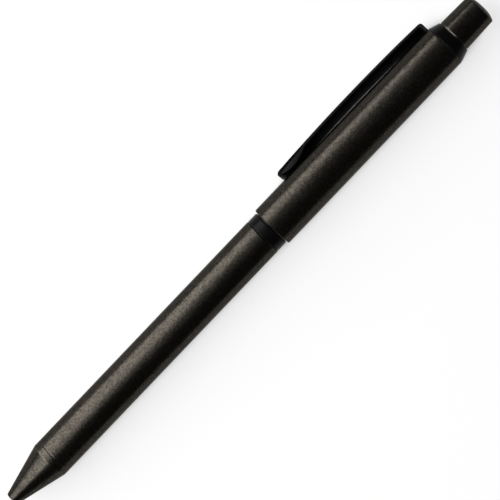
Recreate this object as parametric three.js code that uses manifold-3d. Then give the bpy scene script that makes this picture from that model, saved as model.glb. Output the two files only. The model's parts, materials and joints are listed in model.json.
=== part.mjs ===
// A slim multifunction pen: a ballpoint and a fine pencil share one barrel, and turning the
// upper barrel pushes one of them out. A press on the tail cap works the pencil, and the cap
// pulls off an eraser. Lengths are millimetres.
//
// The pen is built along X. Stations are distances from the mouth of the nose towards the tail,
// and the clip stands on the +Z side. The whole pen is then rolled onto its clip and set down.

import * as THREE from 'three';
import { mergeVertices } from 'three/addons/utils/BufferGeometryUtils.js';
import Module from 'manifold-3d';

const wasm = await Module();
wasm.setup();

// Outside of the pen
const mouthOuterRadius = 1.5;
const noseConeLength = 11.5;
const noseLandLength = 1.5;
const noseWall = 0.45;
const lowerBarrelRadius = 4.4;
const lowerBarrelLength = 63.5;
const lowerBarrelWall = 0.45;
const ringRadius = 4.35;
const ringLength = 2.5;
const ringGrooveLength = 0.3;
const ringGrooveDepth = 0.3;
const upperBarrelRadius = 4.9;
const upperBarrelLength = 52.1;
const upperBarrelWall = 0.65;
const edgeChamfer = 0.15;
const collarLength = 2.5;
const collarLipRadius = 4.05;
const capBaseRadius = 3.87;
const capTopRadius = 3.65;
const capVisibleLength = 7.9;
const capDomeHeight = 0.7;
const capFlatRadius = 1.2;

// Clip
const clipThickness = 0.6;
const clipTopWidth = 4.8;
const clipEndWidth = 4.6;
const clipLength = 43.5;
const clipTopRise = 1.75;
const clipBowRise = 2.3;
const clipEndRise = 1.75;
const clipCornerRadius = 0.8;
const clipBumpLength = 8.4;
const clipBumpPeak = 3.4;
const clipTipThickness = 0.4;
const clipBumpGap = 0.15;
const clipTailInset = 0.1;
const clipFootHeight = 0.5;
const clipLugRoot = 0.3;
const clipBowSpread = 8.7;

// Fits
const slipFit = 0.05;
const faceGap = 0.05;
const fineFit = 0.03;
const runningFit = 0.1;
const guideTubeFit = 0.15;
const workingGap = 0.4;

// Threads and spigots
const noseSpigotLength = 5.0;
const noseSpigotWall = 0.35;
const connectorSpigotLength = 8.0;
const connectorSpigotWall = 0.35;
const webFrontDepth = 0.7;
const bearingLength = 4.7;
const frictionGrooveLength = 1.2;
const frictionGrooveDepth = 0.45;
const frictionRingRounding = 0.12;
const tubeSeatLength = 2.5;

// Mechanism
const carrierOffset = 2.3;
const camLift = 10.0;
const tipReach = 2.5;
const refillSeatDepth = 7.0;
const refillRadius = 1.1;
const refillWall = 0.25;
const pegRadius = 0.65;
const pegLength = 3.0;
const carrierShoulderRadius = 1.0;
const carrierShoulderLength = 0.7;
const carrierRodRadius = 0.7;
const carrierHeadRadius = 1.2;
const carrierHeadLength = 4.5;
const carrierTaperLength = 2.0;
const followerRadius = 0.5;
const followerGap = 0.47;
const keyWidth = 1.0;
const keyLength = 3.4;
const guideTubeWall = 0.5;
const camWall = 2.3;
const camFlangeLength = 2.6;
const returnWireRadius = 0.17;
const returnSpringTurns = 9;
const knockTravel = 3.0;
const knockWireRadius = 0.2;
const knockSpringRadius = 1.7;
const knockSpringTurns = 6;
const plungerStemRadius = 1.0;
const plungerFlangeLength = 1.0;
const plungerBossRadius = 1.4;
const plungerBossLength = 3.5;
const collarSpigotLength = 7.4;
const capSkirtLength = 4.4;
const capRoof = 1.4;
const ferruleRadius = 2.5;
const ferruleWall = 0.45;
const ferruleFloor = 1.5;
const ferruleLength = 11.0;
const eraserHeadLength = 4.5;
const eraserRounding = 0.5;

// Writing points, measured back from the tip
const ballRadius = 0.35;
const ballShowing = 0.28;
const tipNoseRadius = 0.42;
const tipNeckRadius = 0.58;
const tipNeckLength = 2.5;
const tipConeLength = 6.0;
const tipLength = 10.0;
const tipSpigotLength = 4.0;
const inkChannelRadius = 0.15;
const leadRadius = 0.28;
const leadLength = 40.0;
const leadShowing = 0.4;
const pipeRadius = 0.42;
const pipeLength = 4.2;
const chuckHeadRadius = 0.6;
const chuckHeadLength = 1.4;
const chuckBodyRadius = 0.42;
const chuckLength = 9.4;
const chuckStart = 5.6;
const chuckRingLength = 1.0;
const chuckRingInset = 0.1;
const chuckRoom = 0.12;
const chuckFrontRoom = 0.5;
const chuckBoreTaper = 0.3;
const chuckWireRadius = 0.07;
const chuckSpringTurns = 10;
const reservoirRadius = 0.62;
const reservoirEndRoom = 4.95;
const reservoirRoom = 0.14;

// Facets
const shellSides = 48;
const innerSides = 32;
const rodSides = 16;
const wireSides = 5;
const coilSteps = 8;
const domeSteps = 4;
const clipCurveSteps = 12;
const ballSides = 12;
const ballRings = 8;
const leadSides = 10;

// How far a cutting shape runs past what it cuts
const cutOverrun = 1.0;

// Corners closer than this are one corner
const weldDistance = 1e-4;

// Stations along the pen
const noseKink = noseConeLength;
const noseEnd = noseKink + noseLandLength;
const lowerBarrelEnd = noseEnd + lowerBarrelLength;
const ringEnd = lowerBarrelEnd + ringLength;
const upperBarrelStart = ringEnd + ringGrooveLength;
const upperBarrelEnd = upperBarrelStart + upperBarrelLength;
const collarEnd = upperBarrelEnd + collarLength;
const capCorner = collarEnd + capVisibleLength;
const penEnd = capCorner + capDomeHeight;

const halfLift = camLift / 2;
const lowerBoreRadius = lowerBarrelRadius - lowerBarrelWall;
const upperBoreRadius = upperBarrelRadius - upperBarrelWall;
const spigotRadius = lowerBoreRadius - slipFit;
const bearingRadius = upperBoreRadius - slipFit;

const restTip = halfLift - tipReach;
const refillRear = lowerBarrelEnd - refillSeatDepth;
const refillLength = refillRear - restTip;
const restTilt = Math.asin(carrierOffset / 2 / refillLength);
const connectorFront = lowerBarrelEnd - connectorSpigotLength;
const webFront = lowerBarrelEnd - webFrontDepth;
const bearingEnd = upperBarrelStart + bearingLength;
const connectorRear = bearingEnd + tubeSeatLength;
const carrierHoleRadius = carrierRodRadius + runningFit;

// The tail end sets where the plunger, the cam and the followers lie.
const collarFront = upperBarrelEnd - collarSpigotLength;
const plungerFlangeEnd = collarFront - runningFit;
const plungerFlangeStart = plungerFlangeEnd - plungerFlangeLength;
const knockSolidLength = 2 * knockWireRadius * knockSpringTurns;
const camEnd = plungerFlangeStart - knockTravel - knockSolidLength - workingGap;
const camFlangeStart = camEnd - camFlangeLength;
const guideTubeEnd = camFlangeStart - workingGap;
const camValley = guideTubeEnd - camFlangeLength;
const camPeak = camValley - camLift;
const followerTip = camValley - halfLift - followerGap;
const taperEnd = followerTip - followerRadius;
const taperStart = taperEnd - carrierTaperLength;
const headStart = taperStart - carrierHeadLength;
const plungerTip = camEnd - camFlangeLength + knockTravel - 2 * workingGap;

const guideTubeOuter = upperBoreRadius - guideTubeFit;
const guideTubeInner = guideTubeOuter - guideTubeWall;
const tubeSeatRadius = guideTubeInner - slipFit;
const camRadius = guideTubeInner - runningFit;
const camBoreRadius = camRadius - camWall;

const capSkirtEnd = collarEnd - capSkirtLength;
const collarBoreRadius = capBaseRadius + slipFit;
const ferruleStart = plungerFlangeEnd + faceGap;
const ferruleEnd = ferruleStart + ferruleLength;
const capBoreRadius = ferruleRadius + runningFit;
const plungerBossEnd = plungerFlangeEnd + plungerBossLength;
const eraserEnd = ferruleEnd + eraserHeadLength;

const clipRingStart = upperBarrelEnd - clipTailInset - clipThickness;
const clipRingEnd = upperBarrelEnd - clipTailInset;
const clipEndStation = clipRingEnd - clipLength;
const clipFootRadius = upperBarrelRadius + clipFootHeight;

// Finishes
const finish = (color, roughness, metalness) => ({ color, roughness, metalness });
const gunmetalPaint = finish(0x37332f, 0.38, 0.75);
const blackGloss = finish(0x0b0b0c, 0.18, 0.2);
const brass = finish(0xb08d4a, 0.32, 1.0);
const bareSteel = finish(0xb4b6b8, 0.28, 1.0);
const springSteel = finish(0x8d9094, 0.3, 1.0);
const whitePlastic = finish(0xd9d8d2, 0.5, 0.0);
const blackPlastic = finish(0x1b1b1d, 0.5, 0.0);
const eraserRubber = finish(0xe6e2da, 0.85, 0.0);
const sealRubber = finish(0x161616, 0.8, 0.0);
const graphite = finish(0x3a3b3d, 0.55, 0.3);

// Merges a geometry's shared corners, drops its empty triangles and turns its faces outwards.
function closedBody(source) {
  const loose = source.index ? source.toNonIndexed() : source.clone();
  loose.deleteAttribute('normal');
  loose.deleteAttribute('uv');
  const merged = mergeVertices(loose, weldDistance);
  const corners = merged.getAttribute('position');
  const a = new THREE.Vector3();
  const b = new THREE.Vector3();
  const c = new THREE.Vector3();
  const faces = [];
  let volume = 0;
  for (let i = 0; i < merged.index.count; i += 3) {
    const face = [0, 1, 2].map((k) => merged.index.getX(i + k));
    if (new Set(face).size < 3) continue;
    a.fromBufferAttribute(corners, face[0]);
    b.fromBufferAttribute(corners, face[1]);
    c.fromBufferAttribute(corners, face[2]);
    volume += a.dot(b.cross(c));
    faces.push(face);
  }
  const outward = volume > 0 ? faces : faces.map((face) => face.reverse());
  merged.setIndex(outward.flat());
  return merged;
}

function toSolid(geometry) {
  const positions = geometry.getAttribute('position').array;
  const mesh = new wasm.Mesh({
    numProp: 3,
    vertProperties: Float32Array.from(positions),
    triVerts: Uint32Array.from(geometry.index.array),
  });
  return new wasm.Manifold(mesh);
}

function toGeometry(solid) {
  const mesh = solid.getMesh();
  const geometry = new THREE.BufferGeometry();
  geometry.setAttribute('position', new THREE.Float32BufferAttribute(mesh.vertProperties, 3));
  geometry.setIndex(Array.from(mesh.triVerts));
  return closedBody(geometry);
}

function cut(body, ...tools) {
  return toGeometry(tools.reduce((solid, tool) => solid.subtract(toSolid(tool)), toSolid(body)));
}

function join(body, ...others) {
  return toGeometry(others.reduce((solid, other) => solid.add(toSolid(other)), toSolid(body)));
}

// Revolves an outline of [station, radius] points about the X axis. An outline that doesn't
// start and end on the axis closes on itself.
function turned(outline, sides = innerSides) {
  const points = outline.map(([station, radius]) => new THREE.Vector2(radius, station));
  const meetsAxis = outline[0][1] === 0 && outline.at(-1)[1] === 0;
  if (!meetsAxis) points.push(points[0].clone());
  return closedBody(new THREE.LatheGeometry(points, sides).rotateZ(-Math.PI / 2));
}

// A plain tube or ring between two stations.
function tube(start, end, inner, outer, sides = innerSides) {
  return turned([[start, inner], [start, outer], [end, outer], [end, inner]], sides);
}

function rod(start, end, radius, sides = rodSides) {
  return turned([[start, 0], [start, radius], [end, radius], [end, 0]], sides);
}

// A block between two stations, from low to high along Y and Z.
function block(start, end, lowY, highY, lowZ, highZ) {
  const geometry = new THREE.BoxGeometry(end - start, highY - lowY, highZ - lowZ);
  geometry.translate((start + end) / 2, (lowY + highY) / 2, (lowZ + highZ) / 2);
  return closedBody(geometry);
}

// One unbroken wire wound round the X axis from start to end.
function coil(start, end, meanRadius, wireRadius, turns) {
  const steps = turns * coilSteps;
  const first = start + wireRadius;
  const rise = (end - start - 2 * wireRadius) / steps;
  const positions = [];
  const faces = [];
  const along = new THREE.Vector3();
  const outward = new THREE.Vector3();
  const sideways = new THREE.Vector3();
  const centre = new THREE.Vector3();
  const corner = new THREE.Vector3();
  for (let i = 0; i <= steps; i += 1) {
    const angle = (2 * Math.PI * i) / coilSteps;
    outward.set(0, Math.cos(angle), Math.sin(angle));
    along.set((rise * coilSteps) / (2 * Math.PI * meanRadius), -Math.sin(angle), Math.cos(angle));
    sideways.crossVectors(along.normalize(), outward).normalize();
    centre.copy(outward).multiplyScalar(meanRadius);
    centre.x = first + rise * i;
    for (let k = 0; k < wireSides; k += 1) {
      const turn = (2 * Math.PI * k) / wireSides;
      corner.copy(centre);
      corner.addScaledVector(outward, wireRadius * Math.cos(turn));
      corner.addScaledVector(sideways, wireRadius * Math.sin(turn));
      positions.push(corner.x, corner.y, corner.z);
    }
  }
  for (let i = 0; i < steps; i += 1) {
    for (let k = 0; k < wireSides; k += 1) {
      const here = i * wireSides + k;
      const next = i * wireSides + ((k + 1) % wireSides);
      faces.push(here, next, next + wireSides, here, next + wireSides, here + wireSides);
    }
  }
  const lastRing = steps * wireSides;
  for (let k = 1; k < wireSides - 1; k += 1) {
    faces.push(0, k + 1, k, lastRing, lastRing + k, lastRing + k + 1);
  }
  const geometry = new THREE.BufferGeometry();
  geometry.setAttribute('position', new THREE.Float32BufferAttribute(positions, 3));
  geometry.setIndex(faces);
  return closedBody(geometry);
}

function named(name, geometry, look) {
  geometry.computeVertexNormals();
  const mesh = new THREE.Mesh(geometry, new THREE.MeshStandardMaterial(look));
  mesh.name = name;
  return mesh;
}

// Front barrel: the nose cone's spigot screws into the lower barrel.
function makeNoseCone() {
  const mouthRadius = mouthOuterRadius - noseWall;
  const spigotEnd = noseEnd + noseSpigotLength;
  const spigotBore = spigotRadius - noseSpigotWall;
  const coneSlope = (lowerBarrelRadius - mouthOuterRadius) / noseConeLength;
  const boreKink = (spigotBore - mouthRadius) / coneSlope;
  return named('nose_cone', turned([
    [0, mouthRadius],
    [0, mouthOuterRadius],
    [noseKink, lowerBarrelRadius],
    [noseEnd, lowerBarrelRadius],
    [noseEnd, spigotRadius],
    [spigotEnd, spigotRadius],
    [spigotEnd, spigotBore],
    [boreKink, spigotBore],
  ], shellSides), gunmetalPaint);
}

function makeLowerBarrel() {
  const start = noseEnd + faceGap;
  const end = lowerBarrelEnd - faceGap;
  const shell = tube(start, end, lowerBoreRadius, lowerBarrelRadius, shellSides);
  return named('lower_barrel', shell, gunmetalPaint);
}

// Centre connector: threaded spigot, black ring, bearing for the upper barrel, and a web with
// one hole for each carrier.
function makeCentreConnector() {
  const grooveStart = bearingEnd - 2 * frictionGrooveLength;
  const grooveFloor = bearingRadius - frictionGrooveDepth;
  const body = turned([
    [webFront, 0],
    [webFront, spigotRadius - connectorSpigotWall],
    [connectorFront, spigotRadius - connectorSpigotWall],
    [connectorFront, spigotRadius],
    [lowerBarrelEnd, spigotRadius],
    [lowerBarrelEnd, ringRadius - edgeChamfer],
    [lowerBarrelEnd + edgeChamfer, ringRadius],
    [ringEnd - edgeChamfer, ringRadius],
    [ringEnd, ringRadius - edgeChamfer],
    [ringEnd, ringRadius - ringGrooveDepth],
    [upperBarrelStart + slipFit, ringRadius - ringGrooveDepth],
    [upperBarrelStart + slipFit, bearingRadius],
    [grooveStart, bearingRadius],
    [grooveStart, grooveFloor],
    [grooveStart + frictionGrooveLength, grooveFloor],
    [grooveStart + frictionGrooveLength, bearingRadius],
    [bearingEnd, bearingRadius],
    [bearingEnd, tubeSeatRadius],
    [connectorRear, tubeSeatRadius],
    [connectorRear, 0],
  ], shellSides);
  const holes = [-carrierOffset, carrierOffset].map((offset) => (
    rod(webFront - cutOverrun, connectorRear + cutOverrun, carrierHoleRadius, innerSides)
      .translate(0, offset, 0)
  ));
  return named('centre_connector', cut(body, ...holes), blackGloss);
}

function makeFrictionRing() {
  const grooveStart = bearingEnd - 2 * frictionGrooveLength;
  const start = grooveStart + faceGap;
  const end = grooveStart + frictionGrooveLength - faceGap;
  const inner = bearingRadius - frictionGrooveDepth + slipFit;
  const rounding = frictionRingRounding;
  return named('friction_ring', turned([
    [start, inner + rounding],
    [start, bearingRadius - rounding],
    [start + rounding, bearingRadius],
    [end - rounding, bearingRadius],
    [end, bearingRadius - rounding],
    [end, inner + rounding],
    [end - rounding, inner],
    [start + rounding, inner],
  ], shellSides), sealRubber);
}

// The guide tube's two open slots keep the carriers from turning with the cam.
function makeGuideTube() {
  const body = tube(bearingEnd + faceGap, guideTubeEnd, guideTubeInner, guideTubeOuter, shellSides);
  const slotStart = headStart - halfLift - workingGap;
  const slotHalf = keyWidth / 2 + runningFit;
  const reach = guideTubeOuter + cutOverrun;
  const slots = [[-reach, 0], [0, reach]].map(([low, high]) => (
    block(slotStart, guideTubeEnd + cutOverrun, low, high, -slotHalf, slotHalf)
  ));
  return named('guide_tube', cut(body, ...slots), brass);
}

// Upper barrel, with a counterbore and a notch at its tail end for the clip's ring.
function makeUpperBarrel() {
  const counterboreStart = clipRingStart - faceGap;
  const counterboreRadius = (upperBoreRadius + upperBarrelRadius) / 2;
  const notchHalf = clipTopWidth / 2 + runningFit;
  const end = upperBarrelEnd - faceGap;
  const body = turned([
    [upperBarrelStart, upperBoreRadius],
    [upperBarrelStart, upperBarrelRadius - edgeChamfer],
    [upperBarrelStart + edgeChamfer, upperBarrelRadius],
    [end, upperBarrelRadius],
    [end, counterboreRadius],
    [counterboreStart, counterboreRadius],
    [counterboreStart, upperBoreRadius],
  ], shellSides);
  const notch = block(
    counterboreStart,
    end + cutOverrun,
    -notchHalf,
    notchHalf,
    0,
    upperBarrelRadius + cutOverrun,
  );
  return named('upper_barrel', cut(body, notch), gunmetalPaint);
}

function makeTailCollar() {
  return named('tail_collar', turned([
    [collarFront, collarBoreRadius],
    [collarFront, bearingRadius],
    [upperBarrelEnd, bearingRadius],
    [upperBarrelEnd, upperBarrelRadius - edgeChamfer],
    [upperBarrelEnd + edgeChamfer, upperBarrelRadius - edgeChamfer / 2],
    [collarEnd, collarLipRadius],
    [collarEnd, collarBoreRadius],
  ], shellSides), blackGloss);
}

// The clip's ring sits on the collar's spigot inside the barrel, and its lug comes out through
// the notch to carry the arm.
function makeClipRing() {
  const inner = bearingRadius + slipFit / 2;
  const outer = (upperBoreRadius + upperBarrelRadius) / 2 - slipFit;
  const ring = tube(clipRingStart, clipRingEnd, inner, outer, shellSides);
  const half = clipTopWidth / 2;
  const lug = block(clipRingStart, clipRingEnd, -half, half, outer - clipLugRoot, clipFootRadius);
  const bore = rod(clipRingStart - cutOverrun, clipRingEnd + cutOverrun, inner);
  return named('clip_ring', join(ring, cut(lug, bore)), blackGloss);
}

// The spring arm of the clip: a bowed strip whose free end thickens into a contact bump and then
// thins again to a lifted tip.
function makeClip() {
  const topRadius = upperBarrelRadius + clipTopRise;
  const bowRadius = upperBarrelRadius + clipBowRise;
  const endRadius = upperBarrelRadius + clipEndRise;
  const footStart = clipFootRadius + faceGap;
  const bumpRadius = upperBarrelRadius + clipBumpGap;
  const bowStation = (clipRingEnd + clipEndStation) / 2;
  const bumpPeak = clipEndStation + clipBumpPeak;
  const bumpEnd = clipEndStation + clipBumpLength;
  const inside = clipThickness;
  // A cubic curve comes three quarters of the way to its handles.
  const handleRadius = endRadius + (bowRadius - endRadius) / 0.75;
  const side = new THREE.Shape();
  side.moveTo(clipRingEnd, footStart);
  side.lineTo(clipRingEnd, topRadius - clipCornerRadius);
  side.quadraticCurveTo(clipRingEnd, topRadius, clipRingEnd - clipCornerRadius, topRadius);
  side.bezierCurveTo(
    bowStation + clipBowSpread, handleRadius,
    bowStation - clipBowSpread, handleRadius,
    clipEndStation, endRadius,
  );
  side.lineTo(clipEndStation, endRadius - clipTipThickness);
  side.quadraticCurveTo(
    clipEndStation + clipBumpPeak / 2, bumpRadius,
    bumpPeak, bumpRadius,
  );
  side.quadraticCurveTo(
    (bumpPeak + bumpEnd) / 2, bumpRadius,
    bumpEnd, endRadius + (bowRadius - endRadius) / 2 - inside,
  );
  side.bezierCurveTo(
    bowStation - clipBowSpread / 2, handleRadius - inside,
    bowStation + clipBowSpread, handleRadius - inside,
    clipRingStart - clipCornerRadius / 2, topRadius - inside,
  );
  side.lineTo(clipRingStart, topRadius - inside - clipCornerRadius / 2);
  side.lineTo(clipRingStart, footStart);
  const strip = new THREE.ExtrudeGeometry(side, {
    depth: clipTopWidth,
    bevelEnabled: false,
    curveSegments: clipCurveSteps,
  });
  strip.rotateX(Math.PI / 2).translate(0, clipTopWidth / 2, 0);
  const corners = strip.getAttribute('position');
  for (let i = 0; i < corners.count; i += 1) {
    const share = THREE.MathUtils.clamp((corners.getX(i) - clipEndStation) / clipLength, 0, 1);
    corners.setY(i, corners.getY(i) * THREE.MathUtils.lerp(clipEndWidth / clipTopWidth, 1, share));
  }
  return named('clip', closedBody(strip), blackGloss);
}

// The selector cam: a ring whose front face climbs evenly from the valley to the peak on both
// sides, so that a quarter turn moves one follower forwards as far as the other comes back.
function makeSelectorCam() {
  const back = camEnd - camFlangeLength / 2;
  const positions = [];
  const faces = [];
  for (let i = 0; i < shellSides; i += 1) {
    const angle = (2 * Math.PI * i) / shellSides;
    const fromPeak = Math.abs(angle > Math.PI ? angle - 2 * Math.PI : angle) / Math.PI;
    const front = camPeak + camLift * fromPeak;
    for (const [station, radius] of [
      [front, camBoreRadius],
      [front, camRadius],
      [back, camRadius],
      [back, camBoreRadius],
    ]) {
      positions.push(station, -radius * Math.sin(angle), radius * Math.cos(angle));
    }
  }
  for (let i = 0; i < shellSides; i += 1) {
    const next = (i + 1) % shellSides;
    for (let k = 0; k < 4; k += 1) {
      const here = 4 * i + k;
      const above = 4 * i + ((k + 1) % 4);
      const there = 4 * next + k;
      const beyond = 4 * next + ((k + 1) % 4);
      faces.push(here, above, beyond, here, beyond, there);
    }
  }
  const ramp = new THREE.BufferGeometry();
  ramp.setAttribute('position', new THREE.Float32BufferAttribute(positions, 3));
  ramp.setIndex(faces);
  const flange = tube(camFlangeStart, camEnd, camBoreRadius, bearingRadius, shellSides);
  return named('selector_cam', join(flange, closedBody(ramp)), brass);
}

// A carrier: the peg that holds a refill, the rod through the web, and the keyed head whose
// rounded follower rides on the cam. The outward side is +1 or -1 along Y.
function makeCarrier(name, outwardSide, look) {
  const shoulderStart = refillRear + runningFit;
  const halfRound = followerRadius * Math.SQRT1_2;
  const body = turned([
    [shoulderStart - pegLength, 0],
    [shoulderStart - pegLength, pegRadius],
    [shoulderStart, pegRadius],
    [shoulderStart, carrierShoulderRadius],
    [shoulderStart + carrierShoulderLength, carrierShoulderRadius],
    [shoulderStart + carrierShoulderLength, carrierRodRadius],
    [headStart, carrierRodRadius],
    [headStart, carrierHeadRadius],
    [taperStart, carrierHeadRadius],
    [taperEnd, followerRadius],
    [taperEnd + halfRound, halfRound],
    [followerTip, 0],
  ], rodSides);
  const keyReach = guideTubeOuter - slipFit - carrierOffset;
  const half = keyWidth / 2;
  const edges = [outwardSide * carrierHeadRadius / 2, outwardSide * keyReach].sort((a, b) => a - b);
  const key = block(headStart, headStart + keyLength, edges[0], edges[1], -half, half);
  const carrier = join(body, key).translate(0, outwardSide * carrierOffset, 0);
  return named(name, carrier, look);
}

function makeReturnSpring(name, outwardSide) {
  const start = connectorRear + faceGap;
  const end = headStart - faceGap;
  const meanRadius = carrierHoleRadius + returnWireRadius;
  const spring = coil(start, end, meanRadius, returnWireRadius, returnSpringTurns);
  return named(name, spring.translate(0, outwardSide * carrierOffset, 0), springSteel);
}

// Tail: plunger, its spring, the eraser in its ferrule, and the cap over them.
function makePlunger() {
  const flangeRadius = bearingRadius - slipFit;
  return named('plunger', turned([
    [plungerTip, 0],
    [plungerTip, plungerStemRadius],
    [plungerFlangeStart, plungerStemRadius],
    [plungerFlangeStart, flangeRadius],
    [plungerFlangeEnd, flangeRadius],
    [plungerFlangeEnd, plungerBossRadius],
    [plungerBossEnd, plungerBossRadius],
    [plungerBossEnd, 0],
  ]), blackPlastic);
}

function makeKnockSpring() {
  const start = camEnd + faceGap;
  const end = plungerFlangeStart - faceGap;
  const spring = coil(start, end, knockSpringRadius, knockWireRadius, knockSpringTurns);
  return named('knock_spring', spring, springSteel);
}

function makeEraserFerrule() {
  const bore = ferruleRadius - ferruleWall;
  const bossHole = plungerBossRadius + slipFit;
  return named('eraser_ferrule', turned([
    [ferruleStart, bossHole],
    [ferruleStart, ferruleRadius],
    [ferruleEnd, ferruleRadius],
    [ferruleEnd, bore],
    [ferruleStart + ferruleFloor, bore],
    [ferruleStart + ferruleFloor, bossHole],
  ]), brass);
}

function makeEraser() {
  const radius = ferruleRadius - ferruleWall - slipFit;
  const start = plungerBossEnd + faceGap;
  return named('eraser', turned([
    [start, 0],
    [start, radius],
    [eraserEnd - eraserRounding, radius],
    [eraserEnd, radius - eraserRounding],
    [eraserEnd, 0],
  ]), eraserRubber);
}

function makePushCap() {
  const dome = [];
  for (let i = 1; i <= domeSteps; i += 1) {
    const share = i / domeSteps;
    const radius = THREE.MathUtils.lerp(capTopRadius, capFlatRadius, share);
    const height = capDomeHeight * (1 - (1 - share) ** 2);
    dome.push([capCorner + height, radius]);
  }
  const roofStart = penEnd - capRoof;
  return named('push_cap', turned([
    [roofStart, 0],
    [roofStart, capBoreRadius],
    [capSkirtEnd, capBoreRadius],
    [capSkirtEnd, capBaseRadius],
    [collarEnd, capBaseRadius],
    [capCorner, capTopRadius],
    ...dome,
    [penEnd, 0],
  ], shellSides), gunmetalPaint);
}

// Both writing points are built with the tip's datum at -refillLength and the flex point, where
// the refill leaves its peg, at the origin.
const fromTip = (distance) => distance - refillLength;
const refillBore = refillRadius - refillWall;

function makeInkTube() {
  return named('ink_tube', tube(fromTip(tipLength + faceGap), 0, refillBore, refillRadius), bareSteel);
}

function makeBallpointTip() {
  const seatRadius = ballRadius + fineFit;
  const seatFloor = 2 * ballRadius + fineFit;
  const spigot = refillBore - slipFit / 2;
  const spigotEnd = tipLength + tipSpigotLength;
  return named('ballpoint_tip', turned([
    [fromTip(ballShowing), seatRadius],
    [fromTip(ballShowing), tipNoseRadius],
    [fromTip(tipNeckLength), tipNeckRadius],
    [fromTip(tipConeLength), refillRadius],
    [fromTip(tipLength), refillRadius],
    [fromTip(tipLength), spigot],
    [fromTip(spigotEnd), spigot],
    [fromTip(spigotEnd), inkChannelRadius],
    [fromTip(seatFloor), inkChannelRadius],
    [fromTip(seatFloor), seatRadius],
  ], rodSides), brass);
}

function makeTipBall() {
  const ball = new THREE.SphereGeometry(ballRadius, ballSides, ballRings);
  ball.rotateZ(Math.PI / 2).translate(fromTip(ballRadius), 0, 0);
  return named('tip_ball', closedBody(ball), bareSteel);
}

const chuckBore = chuckHeadRadius + chuckRoom;
const chuckInner = leadRadius + fineFit;

function makePencilTube() {
  return named('pencil_tube', tube(fromTip(tipLength + faceGap), 0, refillBore, refillRadius), bareSteel);
}

function makePencilCone() {
  const spigot = refillBore - slipFit / 2;
  const spigotEnd = tipLength + tipSpigotLength / 2;
  const pipeHole = pipeRadius + fineFit;
  const boreStart = chuckStart - chuckFrontRoom;
  return named('pencil_cone', turned([
    [fromTip(tipNeckLength), pipeHole],
    [fromTip(tipNeckLength), tipNeckRadius],
    [fromTip(tipConeLength), refillRadius],
    [fromTip(tipLength), refillRadius],
    [fromTip(tipLength), spigot],
    [fromTip(spigotEnd), spigot],
    [fromTip(spigotEnd), chuckBore],
    [fromTip(boreStart), chuckBore],
    [fromTip(boreStart - chuckBoreTaper), pipeHole],
  ], rodSides), bareSteel);
}

function makeLeadPipe() {
  const start = fromTip(leadShowing);
  const pipe = tube(start, start + pipeLength, leadRadius + slipFit, pipeRadius, rodSides);
  return named('lead_pipe', pipe, bareSteel);
}

function makeChuck() {
  return named('chuck', turned([
    [fromTip(chuckStart), chuckInner],
    [fromTip(chuckStart), chuckHeadRadius],
    [fromTip(chuckStart + chuckHeadLength), chuckHeadRadius],
    [fromTip(chuckStart + chuckHeadLength), chuckBodyRadius],
    [fromTip(chuckStart + chuckLength), chuckBodyRadius],
    [fromTip(chuckStart + chuckLength), chuckInner],
  ], rodSides), brass);
}

function makeChuckRing() {
  const start = chuckStart + chuckRingInset;
  return named('chuck_ring', tube(
    fromTip(start),
    fromTip(start + chuckRingLength),
    chuckHeadRadius + fineFit,
    chuckBore - fineFit,
    rodSides,
  ), brass);
}

function makeChuckSpring() {
  const start = fromTip(chuckStart + chuckHeadLength + faceGap);
  const end = fromTip(chuckStart + chuckLength - chuckHeadLength);
  const meanRadius = chuckBodyRadius + 2 * chuckWireRadius;
  const spring = coil(start, end, meanRadius, chuckWireRadius, chuckSpringTurns);
  return named('chuck_spring', spring, springSteel);
}

function makeLeadReservoir() {
  const start = fromTip(chuckStart + chuckLength + faceGap);
  const end = -pegLength - reservoirEndRoom;
  const bore = leadRadius + reservoirRoom;
  const reservoir = tube(start, end, bore, reservoirRadius, rodSides);
  return named('lead_reservoir', reservoir, whitePlastic);
}

function makeLead() {
  return named('lead', rod(fromTip(0), fromTip(leadLength), leadRadius, leadSides), graphite);
}

const pen = new THREE.Group();

const ballpoint = new THREE.Group();
ballpoint.name = 'ballpoint_flex_point';
ballpoint.position.set(refillRear, -carrierOffset, 0);
ballpoint.rotation.z = -restTilt;
ballpoint.add(makeInkTube(), makeBallpointTip(), makeTipBall());

const pencil = new THREE.Group();
pencil.name = 'pencil_flex_point';
pencil.position.set(refillRear, carrierOffset, 0);
pencil.rotation.z = restTilt;
pencil.add(
  makePencilTube(),
  makePencilCone(),
  makeLeadPipe(),
  makeChuck(),
  makeChuckRing(),
  makeChuckSpring(),
  makeLeadReservoir(),
  makeLead(),
);

pen.add(
  makeNoseCone(),
  makeLowerBarrel(),
  makeCentreConnector(),
  makeFrictionRing(),
  makeGuideTube(),
  makeUpperBarrel(),
  makeClipRing(),
  makeClip(),
  makeTailCollar(),
  makeSelectorCam(),
  makeKnockSpring(),
  makePlunger(),
  makeEraserFerrule(),
  makeEraser(),
  makePushCap(),
  makeCarrier('ballpoint_carrier', -1, blackPlastic),
  makeReturnSpring('ballpoint_spring', -1),
  makeCarrier('pencil_carrier', 1, whitePlastic),
  makeReturnSpring('pencil_spring', 1),
  ballpoint,
  pencil,
);

// The pen lies on its upper barrel with the clip rolled down until its edge meets the surface.
const clipEdgeHalf = (clipTopWidth + clipEndWidth) / 4;
const clipEdgeRadius = Math.hypot(upperBarrelRadius + clipBowRise, clipEdgeHalf);
const clipEdgeAngle = Math.atan2(clipEdgeHalf, upperBarrelRadius + clipBowRise);
const clipFromDown = Math.acos(upperBarrelRadius / clipEdgeRadius) + clipEdgeAngle;
pen.rotation.x = clipFromDown - Math.PI;

// Its origin is the middle of its footprint, on the surface.
const object = new THREE.Group();
object.add(pen);
object.updateMatrixWorld(true);
const reach = new THREE.Box3().setFromObject(object, true);
const middle = reach.getCenter(new THREE.Vector3());
pen.position.set(-middle.x, -middle.y, -reach.min.z);
object.updateMatrixWorld(true);

export default object;
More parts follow.
